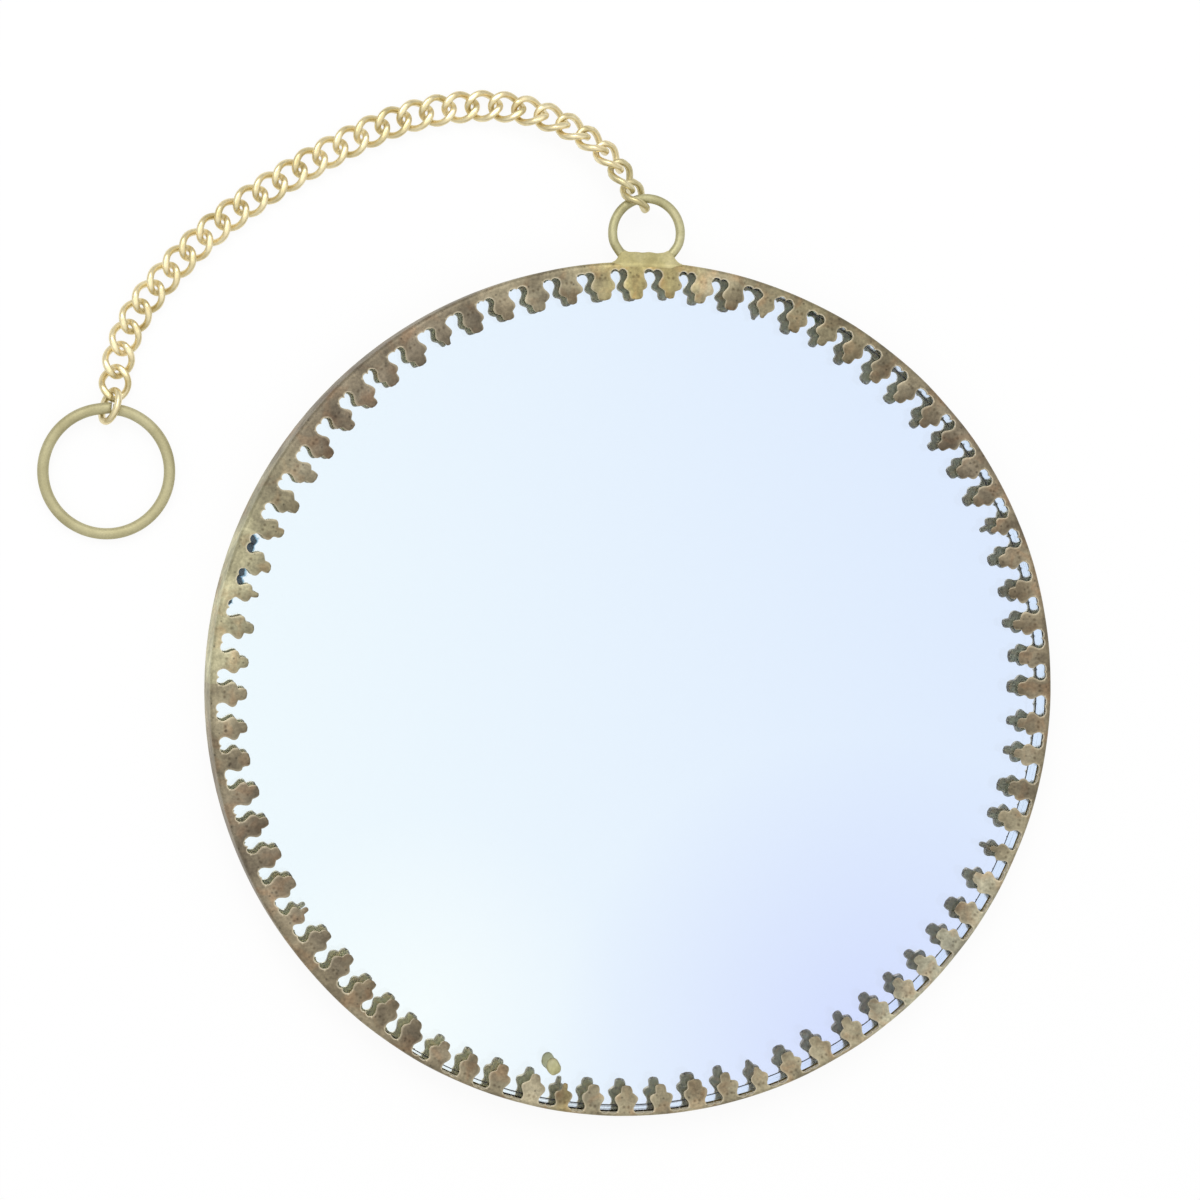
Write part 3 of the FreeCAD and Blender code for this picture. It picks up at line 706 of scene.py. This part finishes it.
# The inside is unworn yellow brass, painted paler and duller than brass can be as painted light from the mirror under
# the teeth. Only its mirror image is seen, with painted shade that darkens it near the wall.
gallery_inside_painted_light_and_shade = brass("gallery_underside_painted_light_and_shade", (0.92, 0.73, 0.32), (1.0, 0.83, 0.40), (1.0, 0.89, 0.48),
                       metal=0.0, rough=0.4, patch_size=3.0, grain_size=0.6, dent=0.07, pits=0.3,
                       lengthwise=((0.06, (0.4, 0.4, 0.4)), (0.16, (0.95, 0.95, 0.95)), (0.3, UNTINTED)))
gallery = add_piece("toothed_gallery", gallery_shape, gallery_brass, gallery_inside_painted_light_and_shade)
thick = gallery.modifiers.new("sheet", "SOLIDIFY")
thick.thickness = strip_sheet
thick.offset = -1
thick.material_offset = 1
soft_edge = gallery.modifiers.new("worn_edges", "BEVEL")
soft_edge.width = 0.16 * MM
soft_edge.segments = 2
soft_edge.limit_method = "ANGLE"
soft_edge.angle_limit = math.radians(50)
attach(gallery, "mirror")
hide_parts("gallery_band")

# Hanger loop: a bit of drawn brass wire bent round, its two ends stopped against the wall. The ends are drawn in
# towards each other, where the braze holds them.
WIRE_ROWS, LOOP_COLUMNS = 16, 64
section_squareness = 0.8
weld = 0.001 * MM
loop_wire = 1.4 * MM
loop_middle = Vector((0, 69.4, 4.6)) * MM
loop_radius = 5.2 * MM
loop_opening = math.radians(37.5)
draw_start, draw_run, draw_share = 1.2 * MM, 2.4 * MM, 0.07


def wire_shape(columns, rows, wire, path_point, up_way):
    """Wire along a path, its section a little squared. Ends that don't meet are closed."""
    def place(column, row):
        tangent = (path_point(column + 1) - path_point(column - 1)).normalized()
        side = tangent.cross(up_way(column)).normalized()
        up = side.cross(tangent).normalized()
        turn = 2 * math.pi * row / rows
        wide = math.copysign(abs(math.cos(turn)) ** section_squareness, math.cos(turn)) * (wire / 2)
        high = math.copysign(abs(math.sin(turn)) ** section_squareness, math.sin(turn)) * (wire / 2)
        return path_point(column) + side * wide + up * high

    shape = shaped_sheet(columns, rows, place)
    bmesh.ops.remove_doubles(shape, verts=list(shape.verts), dist=weld)
    bmesh.ops.holes_fill(shape, edges=[edge for edge in shape.edges if edge.is_boundary], sides=rows)
    bmesh.ops.recalc_face_normals(shape, faces=list(shape.faces))
    return shape


def loop_path(column):
    """Middle of the loop's wire, from one end round to the other."""
    turn = -math.pi / 2 + loop_opening + (2 * math.pi - 2 * loop_opening) * column / LOOP_COLUMNS
    across, along = math.cos(turn) * loop_radius, math.sin(turn) * loop_radius
    drawn = (-along - draw_start) / draw_run
    return loop_middle + Vector((across * (1 - draw_share * eased(drawn)), along, 0))


wire_brass = brass("wire_brass", (0.36, 0.33, 0.17), (0.49, 0.46, 0.26), (0.63, 0.59, 0.38), metal=0.7, rough=0.5,
                   patch_size=5.0, grain_size=0.35, dent=0.02, pits=0.15, blush=0.01, grain=0.4)
loop_shape = wire_shape(LOOP_COLUMNS, WIRE_ROWS, loop_wire, loop_path, lambda column: Vector((0, 0, 1)))
loop = add_piece("wire_loop", loop_shape, wire_brass)
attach(loop, "mirror")
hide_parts("hanger_loop")

# Braze: brass filler flowed between the loop's ends and the wall. It stands as a smooth yellow mass with hollow
# sides outside the loop and a nearly straight edge inside it.
braze_foot = 5.4 * MM
braze_neck = 3.7 * MM
braze_inside = 66.5 * MM
braze_low = 2.9 * MM
braze_ripple, ripple_scale = 0.12 * MM, 0.9
# Its thin ends lie on the fold between these heights. In the middle it is this far below the loop's top.
end_low, end_top = 5.8 * MM, 6.0 * MM
below_loop_top = 0.25 * MM
loop_top = loop_middle.z + loop_wire / 2
# It climbs the wire, and laps onto the rim.
cling, cling_middle, cling_reach = 0.6 * MM, 3.9 * MM, 0.9 * MM
end_lap, middle_lap, lap_thickness = 0.3 * MM, 1.0 * MM, 0.08 * MM
# Its skin stands off the wall a little, its edges are sunk, and its corners are rounded.
skin, lap_sink, fold_sink, fold_inset, wall_inset = 0.02 * MM, 0.12 * MM, 0.08 * MM, 0.25 * MM, 0.15 * MM
slope_rise, top_round, side_round, low_round = 0.75 * MM, 0.12 * MM, 0.5 * MM, 0.25 * MM
BRAZE_COLUMNS, BRAZE_ROWS = 40, 12


def braze_section(x):
    """Ring of points round the filler at one place across: from the rim over the fold, down to the loop and back
    under, inside the strip's own thickness."""
    wall_y = math.sqrt(wall_radius ** 2 - x ** 2)
    reach = min((braze_foot - abs(x)) / (braze_foot - braze_neck), 1.0) ** 2
    ripple = braze_ripple * noise.noise(Vector((x / MM * ripple_scale, 0, 0)))
    climb = cling * math.exp(-((abs(x) - cling_middle) / cling_reach) ** 2)
    out_y = wall_y + skin + reach * (braze_inside + ripple + climb - wall_radius)
    in_y = wall_y - end_lap - middle_lap * reach
    low = end_low + (braze_low - end_low) * reach
    outer_top = end_top + (loop_top - below_loop_top - end_top) * reach
    over = lap_thickness * reach
    half_sheet = face_height - strip_sheet / 2
    return (
        # Over the rim and the fold.
        (in_y, face_height - lap_sink),
        (in_y * 0.5 + wall_y * 0.5, face_height + over),
        (wall_y - fold_inset, face_height - fold_sink + over),
        # Down the slope to the edge inside the loop.
        (wall_y * 0.6 + out_y * 0.4, outer_top + slope_rise * reach),
        (out_y - top_round * reach, outer_top),
        (out_y, outer_top - side_round * reach),
        (out_y, low + side_round * reach),
        # Back below to the wall, and up inside the sheet.
        (out_y - low_round * reach, low),
        (wall_y - wall_inset, low),
        (wall_y - strip_sheet / 2, (low + half_sheet) / 2),
        (wall_y - strip_sheet / 2, half_sheet),
        (in_y * 0.7 + wall_y * 0.3, half_sheet))


def braze_point(column, row):
    """Corner of the filler's surface."""
    x = braze_foot * (2 * column / BRAZE_COLUMNS - 1)
    y, z = braze_section(x)[row % BRAZE_ROWS]
    return Vector((x, y, z))


braze_finish = brass("flowed_braze", (0.47, 0.41, 0.19), (0.60, 0.54, 0.27), (0.70, 0.64, 0.38),
                     metal=0.65, rough=0.58, patch_size=4.0, grain_size=0.4, dent=0.04, pits=0.1, blush=0.0,
                     grain=0.5, rings=((0.634, (0.74, 0.70, 0.62)), (0.658, UNTINTED)))
braze_shape = shaped_sheet(BRAZE_COLUMNS, BRAZE_ROWS, braze_point)
bmesh.ops.remove_doubles(braze_shape, verts=list(braze_shape.verts), dist=2 * weld)
bmesh.ops.holes_fill(braze_shape, edges=[edge for edge in braze_shape.edges if edge.is_boundary], sides=0)
bmesh.ops.recalc_face_normals(braze_shape, faces=list(braze_shape.faces))
braze = add_piece("braze_mass", braze_shape, braze_finish)
smooth_flow = braze.modifiers.new("smooth_flow", "SUBSURF")
smooth_flow.levels = 1
smooth_flow.render_levels = 1
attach(braze, "mirror")
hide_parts("braze_fillet")

# Drop of flux: a bead that fell on the glass near the strip's seam while the case was soldered. It has set hard,
# cloudy and yellow, so some light comes through it, and it holds on by itself.
drop_place = Vector((-11.2, -57.4, 0)) * MM
drop_half = Vector((1.08, 1.32, 0.5)) * MM
drop_turn = math.radians(18)
drop_foot = 0.45
drop_gap = 0.03 * MM
lump_height, lump_scale, lump_seed = 0.16, 1.3, Vector((4.0, 1.0, 2.0))
drop_shape = bmesh.new()
bmesh.ops.create_uvsphere(drop_shape, u_segments=28, v_segments=16, radius=1.0)
bmesh.ops.bisect_plane(drop_shape, geom=drop_shape.verts[:] + drop_shape.edges[:] + drop_shape.faces[:],
                       plane_co=(0, 0, -drop_foot), plane_no=(0, 0, 1), clear_inner=True)
bmesh.ops.holes_fill(drop_shape, edges=[edge for edge in drop_shape.edges if edge.is_boundary], sides=0)
for vert in drop_shape.verts:
    lump = 1 + lump_height * noise.noise(vert.co * lump_scale + lump_seed)
    vert.co.x *= lump
    vert.co.y *= lump
lie = Matrix.Translation(drop_place + Vector((0, 0, glass_high.z + drop_gap + drop_foot * drop_half.z)))
lie = lie @ Matrix.Rotation(drop_turn, 4, "Z") @ Matrix.Diagonal((*drop_half, 1))
bmesh.ops.transform(drop_shape, matrix=lie, verts=list(drop_shape.verts))
bmesh.ops.recalc_face_normals(drop_shape, faces=list(drop_shape.faces))
flux_finish, shader = mottled("set_flux", 1800, 4, (0.64, 0.60, 0.31), (0.78, 0.72, 0.42), 0.35, 0.65)
shader.inputs["Transmission Weight"].default_value = 0.7
shader.inputs["Roughness"].default_value = 0.4
shader.inputs["IOR"].default_value = 1.5
drop = add_piece("flux_drop", drop_shape, flux_finish)
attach(drop, "mirror")


# Chain: 31 links of satin brass wire. Thirty are curb links, twisted so that they lie flat together and filed a
# little flat on both sides. The last is a plain oval that holds the ring. Each is bent shut round its neighbour.
def lie_of(node):
    """Middle and own axes of a wire piece of the frame: along, across and up."""
    points = np.array([vert.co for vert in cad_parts[node].data.vertices])
    middle = points.mean(axis=0)
    axes = np.linalg.eigh(np.cov((points - middle).T))[1]
    along, across = Vector(axes[:, 2]), Vector(axes[:, 1])
    return Vector(middle), along, across, along.cross(across)


link_wire = 1.0 * MM
link_half_length = 2.45 * MM
link_half_width = 1.95 * MM
curb_twist = math.radians(48)
curb_flat = 1.07 * MM
LINK_COLUMNS, LINK_ROWS = 48, 12
chain_brass = brass("chain_brass", (0.66, 0.56, 0.29), (0.81, 0.70, 0.42), (0.94, 0.84, 0.55), metal=0.9, rough=0.3,
                    patch_size=3.5, grain_size=0.3, dent=0.004, pits=0.05, grain=0.25, blush=0.02)
dull_chain_brass = brass("dull_chain_brass", (0.50, 0.43, 0.22), (0.66, 0.58, 0.33), (0.84, 0.76, 0.49), metal=0.9,
                         rough=0.34, patch_size=3.5, grain_size=0.3, dent=0.005, pits=0.1, grain=0.3, blush=0.01)


def link_path(twist):
    """Path of a link's wire: an oval, twisted about its length."""
    def path(column):
        turn = 2 * math.pi * column / LINK_COLUMNS
        twisted = -twist * math.cos(turn)
        across = link_half_width * math.sin(turn)
        return Vector((link_half_length * math.cos(turn), across * math.cos(twisted), across * math.sin(twisted)))
    return path


def link_up(twist):
    """Upward way of a link's section, turned with the twist."""
    def up(column):
        twisted = -twist * math.cos(2 * math.pi * column / LINK_COLUMNS)
        return Vector((0, -math.sin(twisted), math.cos(twisted)))
    return up


link_nodes = sorted(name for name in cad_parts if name.startswith("chain_link_"))
for node in link_nodes:
    twist = curb_twist if node != link_nodes[-1] else 0.0
    middle, along, across, up = lie_of(node)
    shape = wire_shape(LINK_COLUMNS, LINK_ROWS, link_wire, link_path(twist), link_up(twist))
    for vert in shape.verts:
        vert.co.z = max(-curb_flat, min(curb_flat, vert.co.z))
    lie = Matrix((along, across, up)).transposed().to_4x4()
    bmesh.ops.transform(shape, matrix=Matrix.Translation(middle) @ lie, verts=list(shape.verts))
    for vert in shape.verts:
        vert.co.z = min(vert.co.z, cad_box[1].z)
    link_finish = dull_chain_brass if node in link_nodes[:2] else chain_brass
    link = add_piece(node.replace("chain_link", "curb_link"), shape, link_finish)
    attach(link, node)
    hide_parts(node)

# End ring: thicker brass wire bent into a ring that hangs on a nail. Its ends are only butted, and stand a little
# out of line under the last link.
ring_wire = 1.7 * MM
ring_radius = 9.37 * MM
RING_COLUMNS = 120
ring_middle, *_, ring_up = lie_of("end_ring")
if ring_up.z < 0:
    ring_up = -ring_up
ring_y = ring_up.cross(Vector((1, 0, 0))).normalized()
ring_x = ring_y.cross(ring_up)
ring_split = math.radians(86.0)
ring_gap = 0.2 * MM / ring_radius
end_offset, end_sharpness = 0.12 * MM, 60


def ring_path(column):
    """Middle of the ring's wire, from one butted end round to the other."""
    share = column / RING_COLUMNS
    turn = ring_split + ring_gap / 2 + (2 * math.pi - ring_gap) * share
    near_end = math.exp(-(min(share, 1 - share) * end_sharpness) ** 2) * (1 if share < 0.5 else -1)
    radius = ring_radius + end_offset * near_end
    return ring_middle + (ring_x * math.cos(turn) + ring_y * math.sin(turn)) * radius


ring_brass = brass("ring_brass", (0.42, 0.38, 0.21), (0.49, 0.45, 0.26), (0.56, 0.52, 0.32), metal=0.6, rough=0.56,
                   patch_size=9.0, grain_size=0.3, dent=0.006, pits=0.08, grain=0.3, blush=0.0)
ring_shape = wire_shape(RING_COLUMNS, WIRE_ROWS, ring_wire, ring_path, lambda column: ring_up)
ring = add_piece("wire_ring", ring_shape, ring_brass)
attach(ring, "end_ring")
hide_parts("end_ring")
